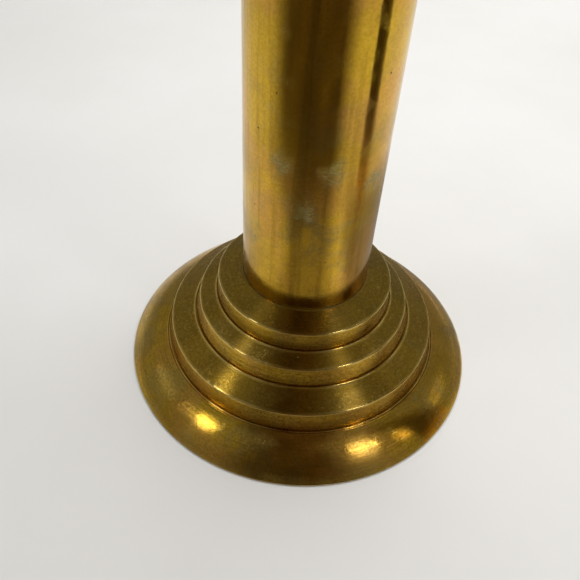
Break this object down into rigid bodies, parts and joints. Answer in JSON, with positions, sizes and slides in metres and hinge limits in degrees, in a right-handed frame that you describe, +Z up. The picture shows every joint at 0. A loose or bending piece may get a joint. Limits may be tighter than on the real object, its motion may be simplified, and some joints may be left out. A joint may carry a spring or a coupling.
{
  "type": "flag pole stand",
  "caption": "Stepped round brass table stand with an open upright tube that holds a pole, clamped by a knurled thumb screw in a collar at its mouth.",
  "frame": {"origin": "centre of the felt pad's underside, where the stand meets the table", "axes": "+Z up along the tube, the way the pole is drawn out; +X towards the thumb screw"},
  "size_m": [0.1492, 0.1492, 0.216],
  "materials": {
    "brass": "aged, turned and polished",
    "steel": "zinc plated",
    "cast_iron": "as cast",
    "black_nylon": "turned",
    "rubber": "matt",
    "felt": "felted wool"
  },
  "bodies": {
    "stand": {"domed_foot": "brass", "lower_tier": "brass", "middle_tier": "brass", "upper_tier": "brass", "column_tube": "brass", "top_collar": "brass", "collar_grub_screws": "steel", "guide_bush": "black_nylon", "pole_cup": "black_nylon", "rest_pad": "rubber", "tube_plug": "brass", "locating_dowel": "steel", "tie_rod": "steel", "plain_washer": "steel", "spring_washer": "steel", "tie_nut": "steel", "ballast_weight": "cast_iron", "bottom_cover": "steel", "cover_screws": "steel", "felt_pad": "felt"},
    "shoe": {"clamp_shoe": "brass"},
    "screw": {"thumb_screw": "brass", "shoe_clip": "steel"}
  },
  "joints": [
    {"name": "shoe_slide", "type": "slide", "parent": "stand", "child": "shoe", "axis": [-1, 0, 0], "range_m": [0, 0.0075]},
    {"name": "screw_turn", "type": "hinge", "parent": "shoe", "child": "screw", "pos_m": [0.045, 0, 0.201], "axis": [-1, 0, 0], "range_deg": [0, 2160]}
  ],
  "couplings": [
    {"joint": "screw_turn", "follows": "shoe_slide", "rad_per_m": 5026.5}
  ]
}
